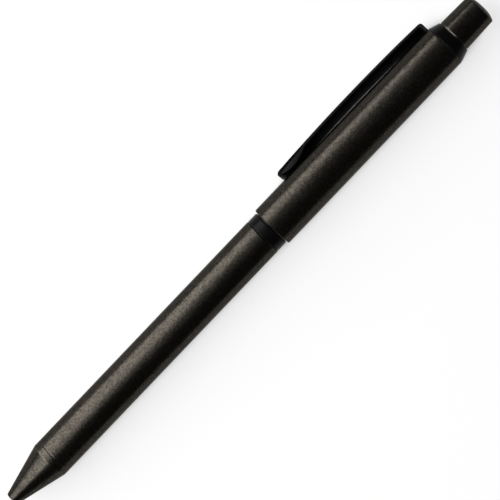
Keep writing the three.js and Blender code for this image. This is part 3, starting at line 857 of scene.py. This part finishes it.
front, seat, slope, rear = rings("tail_collar")
turned("tail_collar_turned", black_gloss, "tail_collar", [
    outside(front, JOINT_BEVEL),
    (seat.station, front.outer),
    outside(seat),
    outside(slope, JOINT_BEVEL),
    outside(rear, COLLAR_EDGE),
    inside(rear),
    inside(front),
])

# %% [markdown]
# The push cap
#
# A tapered button with a low dome, and a fine groove and lead-in where it enters the collar. The dome
# has the CAD model's curve, only finer, because its highlight shows every facet.

# %% Turn the push cap
DOME_STEPS = 14
GROOVE_WIDTH = 0.08
GROOVE_DEPTH = 0.1
LEAD_IN = 0.26

front, waist, cap_floor, rim, *_, top = rings("push_cap")
dome = []
for step in range(1, DOME_STEPS + 1):
    share = 1 - step / DOME_STEPS
    radius = top.outer + (rim.outer - top.outer) * share
    dome.append((top.station - (top.station - rim.station) * share**2, radius))
lead_in_end = waist.station + GROOVE_WIDTH + LEAD_IN
share = (lead_in_end - waist.station) / (rim.station - waist.station)
turned("push_cap_turned", body_paint, "push_cap", [
    outside(front, SOFT_EDGE),
    (waist.station - GROOVE_WIDTH, front.outer),
    (waist.station - GROOVE_WIDTH, front.outer - GROOVE_DEPTH),
    (waist.station + GROOVE_WIDTH, front.outer - GROOVE_DEPTH),
    (lead_in_end, waist.outer + (rim.outer - waist.outer) * share, SOFT_EDGE),
    outside(rim, BLEND),
    *dome,
    (top.station, 0),
    (cap_floor.station, 0),
    outside(cap_floor, BLEND),
    inside(front, SOFT_EDGE),
])

# %% [markdown]
# The clip
#
# A strip of spring steel, bowed a little, whose free end thickens into a contact bump and lifts at
# the tip. The CAD model gives its side view as a chain of corners, and a curve through them makes the
# bow smooth. Its tip and its edges are rounded, because the lamp draws its line along them.

# %% Draw the clip's side view again, finer
CLIP_ROUNDING = 0.16
CURVE_STEPS = 6
TIP_CORNER = 1.1
CORNER_TURN = math.radians(25)


def side_view(node):
    """The corners of an extruded node's side in order, as (station, height, half width)."""
    bm = joined(node)
    bm.normal_update()
    side = [face for face in bm.faces if face.normal.y > 0.5]
    whole = bmesh.ops.dissolve_faces(bm, faces=side, use_verts=False)["region"][0]
    ring = [*whole.verts]
    first = ring.index(min(ring, key=lambda vertex: vertex.index))
    ring = ring[first:] + ring[:first]
    points = [vertex.co.xzy for vertex in ring]
    bm.free()
    return points


def heading(before, here, after, stretch):
    """Which way a curve leaves a corner: along its neighbours, or straight on if it is sharp."""
    if (here - before).xy.angle((after - here).xy) > CORNER_TURN:
        return stretch
    return (after - before).normalized() * stretch.length


def smoothed(points):
    """A finer closed chain: a curve through the gentle corners, with the sharp corners kept."""
    finer = []
    for index, here in enumerate(points):
        before, there, beyond = (points[(index + step) % len(points)] for step in (-1, 1, 2))
        leaving = heading(before, here, there, there - here)
        arriving = heading(here, there, beyond, there - here)
        for step in range(CURVE_STEPS):
            t = step / CURVE_STEPS
            finer.append(
                here * (2 * t**3 - 3 * t**2 + 1) + leaving * (t**3 - 2 * t**2 + t)
                + there * (3 * t**2 - 2 * t**3) + arriving * (t**3 - t**2)
            )
    return finer


bm = bmesh.new()
near, far = [], []
clip_outline = smoothed(side_view("clip"))
clip_tip = min(point.x for point in clip_outline)
for point in clip_outline:
    short = max(0.0, TIP_CORNER - (point.x - clip_tip))
    half_width = point.z - TIP_CORNER + math.sqrt(TIP_CORNER**2 - short**2)
    near.append(bm.verts.new((point.x, -half_width, point.y)))
    far.append(bm.verts.new((point.x, half_width, point.y)))
bm.faces.new(near)
bm.faces.new(list(reversed(far)))
for index in range(len(near)):
    after = (index + 1) % len(near)
    bm.faces.new((near[index], far[index], far[after], near[after]))
clip = bevel(object_from("clip_strip", bm), CLIP_ROUNDING, 4)
fit(clip, black_gloss, "clip")

# %% [markdown]
# Pieces taken over from the model
#
# Most parts of the mechanism have the right shape already, so each is a copy of its CAD node with the
# loose corners joined, the sharp edges broken and the curved faces shaded smooth.

# %% True the mechanism's parts
FLAT_ANGLE = math.radians(1)

for name, node, finish, width in (
    ("clip_ring_cut", "clip_ring", black_gloss, THIN_EDGE),
    ("guide_tube_cut", "guide_tube", brass, 0.06),
    ("selector_cam_milled", "selector_cam", brass, 0.06),
    ("ballpoint_carrier_moulded", "ballpoint_carrier", black_plastic, JOINT_BEVEL),
    ("pencil_carrier_moulded", "pencil_carrier", white_plastic, JOINT_BEVEL),
    ("plunger_moulded", "plunger", black_plastic, JOINT_BEVEL),
    ("chuck_split", "chuck", brass, BROKEN_EDGE),
):
    bm = joined(node)
    bmesh.ops.dissolve_limit(bm, angle_limit=FLAT_ANGLE, verts=bm.verts, edges=bm.edges)
    fit(bevel(object_from(name, bm), width), finish, node)

# %% [markdown]
# The friction ring
#
# A rubber ring that gives the twist its smooth drag. A torus would be too round for the groove, so it
# is turned from four corners with a large rounding.

# %% Turn the friction ring
RUBBER_ROUNDING = 0.18

start, full, _, end = rings("friction_ring")
turned("friction_ring_moulded", seal_rubber, "friction_ring", [
    (start.station, full.inner, RUBBER_ROUNDING),
    (start.station, full.outer, RUBBER_ROUNDING),
    (end.station, full.outer, RUBBER_ROUNDING),
    (end.station, full.inner, RUBBER_ROUNDING),
])

# %% [markdown]
# The eraser and its ferrule
#
# The ferrule is a thin metal cup, and two grooves pressed into it grip the eraser, a plain plug with a
# soft edge. The grooves run all the way round, so they are steps in the outline.

# %% Turn the eraser and the ferrule
BEAD_PLACES = (1.2, 2.4)
BEAD_WIDTH = 0.6
BEAD_SLOPE = 0.15
BEAD_DEPTH = 0.12

front, bottom, rear = rings("eraser_ferrule")
beads = []
for place_back in BEAD_PLACES:
    station = rear.station - place_back
    beads += [
        (station, rear.outer),
        (station - BEAD_SLOPE, rear.outer - BEAD_DEPTH, SOFT_EDGE),
        (station - BEAD_WIDTH + BEAD_SLOPE, rear.outer - BEAD_DEPTH, SOFT_EDGE),
        (station - BEAD_WIDTH, rear.outer),
    ]
turned("eraser_ferrule_drawn", brass, "eraser_ferrule", [
    inside(rear, SOFT_EDGE),
    outside(rear, ROUND_EDGE),
    *beads,
    outside(front, ROUND_EDGE),
    inside(front),
    (bottom.station, front.inner),
    outside(bottom),
], REFILL_SIDES)
front, edge, rear = rings("eraser")
turned("eraser_plug", eraser_rubber, "eraser", [
    (rear.station, 0),
    (rear.station, edge.outer, WIDE_BLEND),
    outside(front, SOFT_EDGE),
    (front.station, 0),
], REFILL_SIDES)

# %% [markdown]
# The ballpoint refill
#
# A thin metal tube with a brass tip pressed into its front end, turned to a fine cone that holds a hard
# ball. They are turned in the refill's own leaning axes, so the outlines stay simple.

# %% Turn the ballpoint refill
LIP_EDGE = 0.02
BALL_STEPS = 16
FINE_SIDES = 32


def sleeve(name, finish, node, axes, front_edge=THIN_EDGE, rear_edge=JOINT_BEVEL):
    """Turns a thin tube whose two outer edges are rounded."""
    front, rear = rings(node, axes)
    outline = [inside(front), outside(front, front_edge), outside(rear, rear_edge), inside(rear)]
    turned(name, finish, node, outline, REFILL_SIDES, axes)


sleeve("ink_tube_drawn", bare_steel, "ink_tube", ballpoint_axes)

lip, seat, ledge, cone, shoulder, rear = rings("ballpoint_tip", ballpoint_axes)
turned("ballpoint_tip_turned", brass, "ballpoint_tip", [
    inside(lip),
    outside(lip, LIP_EDGE),
    outside(ledge, THIN_EDGE),
    outside(cone, BLEND),
    outside(shoulder, JOINT_BEVEL),
    inside(shoulder),
    outside(rear),
    inside(rear),
    inside(seat),
    outside(seat),
], REFILL_SIDES, ballpoint_axes)

ball = rings("tip_ball", ballpoint_axes)
ball_radius = max(ring.outer for ring in ball)
ball_centre = (ball[0].station + ball[-1].station) / 2
half_circle = []
for step in range(BALL_STEPS + 1):
    turn = math.pi * step / BALL_STEPS
    half_circle.append((ball_centre - ball_radius * math.cos(turn), ball_radius * math.sin(turn)))
turned("tip_ball_ground", bare_steel, "tip_ball", half_circle, FINE_SIDES, ballpoint_axes)

# %% [markdown]
# The pencil unit
#
# The same tube, with a small mechanical pencil in its front end: a cone with a guide pipe, a split
# chuck in its ring, and behind them a plastic tube of spare lead. One helper turns all the plain tubes.

# %% Turn the pencil unit
CONE_EDGE = 0.04

sleeve("pencil_tube_drawn", bare_steel, "pencil_tube", pencil_axes)

front, seat, bore, cone, shoulder, rear = rings("pencil_cone", pencil_axes)
turned("pencil_cone_turned", bare_steel, "pencil_cone", [
    inside(front),
    outside(front, CONE_EDGE),
    outside(cone, BLEND),
    outside(shoulder, JOINT_BEVEL),
    inside(shoulder),
    outside(rear),
    inside(rear),
    inside(bore),
    inside(seat),
], REFILL_SIDES, pencil_axes)

for name, finish, node, rounding in (
    ("lead_pipe_drawn", bare_steel, "lead_pipe", BROKEN_EDGE),
    ("chuck_ring_turned", brass, "chuck_ring", 0.015),
    ("lead_reservoir_drawn", white_plastic, "lead_reservoir", THIN_EDGE),
):
    sleeve(name, finish, node, pencil_axes, rounding, rounding)

front, rear = rings("lead", pencil_axes)
turned("lead_drawn", graphite, "lead", [
    (front.station, 0),
    outside(front, JOINT_BEVEL),
    outside(rear),
    (rear.station, 0),
], FINE_SIDES, pencil_axes)

# %% [markdown]
# Springs and threads
#
# A spring is a wire along a helix, whose last turns lie side by side so that it sits flat. A Geometry
# Nodes tree says that rule once, with the length, turns, radius and wire as inputs. Without closed
# turns it also makes the thread of the spigot.

# %% A tree that winds wire
POINTS_A_TURN = 28
WIRE_SIDES = 10

winding = bpy.data.node_groups.new("wound wire", "GeometryNodeTree")
for name in ("Length", "Turns", "Radius", "Wire Radius", "Closed Turns"):
    winding.interface.new_socket(name, in_out="INPUT", socket_type="NodeSocketFloat")
winding.interface.new_socket("Finish", in_out="INPUT", socket_type="NodeSocketMaterial")
winding.interface.new_socket("Geometry", in_out="OUTPUT", socket_type="NodeSocketGeometry")
tree = winding
given = place(tree, "NodeGroupInput").outputs
turns, wire_radius = given["Turns"], given["Wire Radius"]

count = times(tree, turns, POINTS_A_TURN)
line = place(tree, "GeometryNodeCurvePrimitiveLine", {"End": (1, 0, 0)})
fine = place(tree, "GeometryNodeResampleCurve", {"Curve": line.outputs["Curve"], "Count": count})
share = place(tree, "GeometryNodeSplineParameter").outputs["Factor"]
angle = times(tree, share, turns, 2 * math.pi)
closed_share = work(tree, "DIVIDE", given["Closed Turns"], turns)
opened = spread(tree, share, 0.0, 1.0, closed_share, work(tree, "SUBTRACT", 1.0, closed_share))
closed_length = times(tree, turns, wire_radius, 2.0)
open_length = work(tree, "SUBTRACT", given["Length"], closed_length)
travel = work(tree, "SUBTRACT", open_length, times(tree, wire_radius, 2.0))
advance = plus(tree, times(tree, closed_length, share), times(tree, travel, opened))
helix_point = place(tree, "ShaderNodeCombineXYZ", {
    "X": plus(tree, wire_radius, advance),
    "Y": times(tree, given["Radius"], work(tree, "COSINE", angle)),
    "Z": times(tree, given["Radius"], work(tree, "SINE", angle)),
})
helix = place(tree, "GeometryNodeSetPosition", {
    "Geometry": fine.outputs["Curve"], "Position": helix_point.outputs["Vector"],
})
section = place(tree, "GeometryNodeCurvePrimitiveCircle", {"Resolution": WIRE_SIDES, "Radius": wire_radius})
wire = place(tree, "GeometryNodeCurveToMesh", {
    "Curve": helix.outputs["Geometry"], "Profile Curve": section.outputs["Curve"], "Fill Caps": True,
})
plain = place(tree, "GeometryNodeRealizeInstances", {"Geometry": wire.outputs["Mesh"]})
finished = place(tree, "GeometryNodeSetMaterial", {
    "Geometry": plain.outputs["Geometry"], "Material": given["Finish"],
})
place(tree, "NodeGroupOutput", {"Geometry": finished.outputs["Geometry"]})
print("winding:", len(tree.nodes), "nodes")


def wound(name, start, finish, across=0.0, **sizes):
    """A wound wire that starts at a station, about a line across from the pen's axis."""
    coil = bpy.data.objects.new(name, bpy.data.meshes.new(name))
    bpy.context.collection.objects.link(coil)
    modifier = coil.modifiers.new("winding", "NODES")
    modifier.node_group = winding
    values = spaced(sizes) | {"Finish": finish}
    for item in winding.interface.items_tree:
        if item.in_out == "INPUT":
            modifier[item.identifier] = values[item.name]
    apply_modifiers(coil)
    coil.data.transform(Matrix.Translation((start, across, 0)))
    return coil


# %% [markdown]
# The four springs
#
# Each return spring is held by the connector and pushed by a carrier. The knock spring sits between
# the upper barrel and the plunger. The chuck's spring just rides with the pencil.

# %% Wind the springs
RETURN_TURNS = 11.0
KNOCK_TURNS = 7.0
CHUCK_TURNS = 12.0


def spring(name, node, turns, closed_turns, across=0.0, axes=Matrix()):
    """Winds a spring to the size of its CAD node, and gives the stations of its ends too."""
    points = corners(node, axes)
    middle = (points[:, 1:].min(axis=0) + points[:, 1:].max(axis=0)) / 2
    radii = np.hypot(*(points[:, 1:] - middle).T)
    start, end, inner, outer = map(float, (points[:, 0].min(), points[:, 0].max(), radii.min(), radii.max()))
    coil = wound(name, start, spring_steel, across, Length=end - start, Turns=turns,
                 Radius=(inner + outer) / 2, Wire_Radius=(outer - inner) / 2, Closed_Turns=closed_turns)
    return coil, start, end


for name, node, held_by, pushed_by, side, turns, closed_turns in (
    ("ballpoint_spring_wound", "ballpoint_spring", "centre", "ballpoint_carrier", -1, RETURN_TURNS, 1.5),
    ("pencil_spring_wound", "pencil_spring", "centre", "pencil_carrier", 1, RETURN_TURNS, 1.5),
    ("knock_spring_wound", "knock_spring", "upper_barrel", "plunger", 0, KNOCK_TURNS, 1.0),
):
    across = side * carrier_offset
    coil, start, end = spring(name, node, turns, closed_turns, across)
    coil.data.transform(pen_to_world)
    coil.data.shade_smooth()
    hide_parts(node)
    ends = (pen_to_world @ Vector((station, across, 0)) for station in (start, end))
    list(ends)
    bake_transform(coil)
    print(name, "stretches between", held_by, "and", pushed_by)

coil, *_ = spring("chuck_spring_wound", "chuck_spring", CHUCK_TURNS, 1.5, axes=pencil_axes)
fit(coil, spring_steel, "chuck_spring", axes=pencil_axes)

# %% [markdown]
# The thread
#
# The lower barrel screws onto the spigot. A rolled thread has round crests, so it is one more winding,
# sunk halfway into the spigot.

# %% Wind the thread
CREST_RADIUS = 0.2
THREAD_TURNS = 8.0

coil = wound(
    "spigot_thread_rolled", thread_start + THREAD_ROOT, black_gloss,
    Length=thread_end - thread_start - 2 * THREAD_ROOT, Turns=THREAD_TURNS,
    Radius=spigot_front.outer - CREST_RADIUS, Wire_Radius=CREST_RADIUS, Closed_Turns=0.0,
)
fit(coil, black_gloss, body="centre")

# %% [markdown]
# The camera
#
# The picture was taken from nearly straight above, through a long lens, with the pen running from the
# lower left to the upper right. A constraint could aim the camera, but plain turns are easier to match.

# %% Set up the camera
AIM_STATION = 72.6
CAMERA_TILT = math.radians(3.9)
CAMERA_ROLL = math.radians(46.36)
CAMERA_DISTANCE = 0.616
LENS = 212.4
NEAREST = 0.01

aim = pen_to_world @ Vector((AIM_STATION, 0, 0))


def aimed(name, data, distance, *turns):
    """A camera or a lamp that looks at the pen from a distance, after turns of (axis, angle)."""
    obj = bpy.data.objects.new(name, data)
    obj.matrix_world = Matrix.Translation(aim)
    for axis, angle in turns:
        obj.matrix_world @= Matrix.Rotation(angle, 4, axis)
    obj.matrix_world @= Matrix.Translation((0, 0, distance))
    bpy.context.collection.objects.link(obj)
    print(name, "stands at", [round(value, 3) for value in obj.matrix_world.translation])
    return obj


lens = bpy.data.cameras.new("camera")
lens.lens = LENS
lens.clip_start = NEAREST
bpy.context.scene.camera = aimed("camera", lens, CAMERA_DISTANCE, ("Y", CAMERA_TILT), ("Z", -CAMERA_ROLL))

# %% [markdown]
# The table and the lamp
#
# Pictures like this one are lit by a single soft box. Its reflection is the long bright band on both
# barrels, and it tells where the box stood: beside the clip and towards the nose, turned so that the
# band fades towards the tail. The table is white paper. Part of its brightness is a plain white that
# the camera and reflections see, and the rest takes the shadow. Near and under the pen that plain
# white fades with ambient occlusion, a painted contact shade. In the slit beside the clip, where
# little light gets in, ambient occlusion paints the paper's own colour dark: painted shade.

# %% Set up the table and the lamp
FLOOR_SIZE = 8.0
FLOOR_COLOUR = (0.94, 0.94, 0.94)
PAPER_TONES = (0.99, 1.01)
BACKGROUND_SHARE = 0.75
CONTACT_REACH = 6.0
# The next two numbers set the painted shade: the openness over which the paper's colour is painted darker,
# and how dark.
SLIT_OPENNESS = (0.2, 0.5)
PAINTED_SLIT_SHADE = 0.05
# This openness range fades the plain white near the pen, a painted contact shade.
WHITE_OPENNESS = (0.35, 0.6)
LAMP_AZIMUTH = math.radians(-35.2)
LAMP_FROM_UP = math.radians(45.2)
LAMP_ROLL = math.radians(-51.1)
LAMP_DISTANCE = 0.88
LAMP_LENGTH = 0.66
LAMP_WIDTH = 1.6
LAMP_BRIGHTNESS = 5.4
ROOM_BRIGHTNESS = 0.078

lamp = bpy.data.lights.new("soft box", "AREA")
lamp.shape = "RECTANGLE"
lamp.size = LAMP_LENGTH
lamp.size_y = LAMP_WIDTH
lamp.energy = LAMP_BRIGHTNESS * math.pi * LAMP_LENGTH * LAMP_WIDTH
aimed("soft box", lamp, LAMP_DISTANCE, ("Z", -LAMP_AZIMUTH), ("X", -LAMP_FROM_UP), ("Z", LAMP_ROLL))

bm = bmesh.new()
middle = Matrix.Translation((aim.x, aim.y, cad_low[2]))
bmesh.ops.create_grid(bm, x_segments=1, y_segments=1, size=FLOOR_SIZE / 2, matrix=middle)
floor = object_from("table_top", bm)
table_paint = new_finish("table_paint", FLOOR_COLOUR, 0.9, Specular_IOR_Level=0.1)
tree = table_paint.node_tree
speckle = noise(tree, 1.5, 3.0)
openness = place(tree, "ShaderNodeAmbientOcclusion", {"Distance": CONTACT_REACH * MM}).outputs["AO"]
paper = between(tree, speckle, *(shade(FLOOR_COLOUR, tone) for tone in PAPER_TONES))
# Painted shade: where ambient occlusion finds little room, the paper's colour is painted dark.
clear_of_painted_shade = spread(tree, openness, 0.0, 1.0, *SLIT_OPENNESS)
colour = between(tree, clear_of_painted_shade, shade(FLOOR_COLOUR, PAINTED_SLIT_SHADE), paper)
vary(table_paint, colour, spread(tree, speckle, 0.85, 0.95), speckle, depth=0.01)
seen = place(tree, "ShaderNodeLightPath").outputs
mirrored = work(tree, "MAXIMUM", seen["Is Glossy Ray"], seen["Is Transmission Ray"])
plainly_seen = work(tree, "MAXIMUM", seen["Is Camera Ray"], mirrored)
# Painted contact shade: the plain white that the camera and reflections see fades near and under the pen with
# ambient occlusion.
white_clear_of_painted_shade = spread(tree, openness, 0.0, 1.0, *WHITE_OPENNESS)
white = place(tree, "ShaderNodeEmission")
shown = place(tree, "ShaderNodeMixShader", {
    0: times(tree, plainly_seen, white_clear_of_painted_shade, BACKGROUND_SHARE),
    1: tree.nodes["Principled BSDF"].outputs["BSDF"],
    2: white.outputs["Emission"],
})
tree.links.new(shown.outputs["Shader"], tree.nodes["Material Output"].inputs["Surface"])
floor.data.materials.append(table_paint)

world = bpy.data.worlds.new("room")
world.use_nodes = True
room = world.node_tree.nodes["Background"].inputs
room["Color"].default_value = (1, 1, 1, 1)
room["Strength"].default_value = ROOM_BRIGHTNESS
bpy.context.scene.world = world
bpy.context.scene.view_settings.view_transform = "Standard"
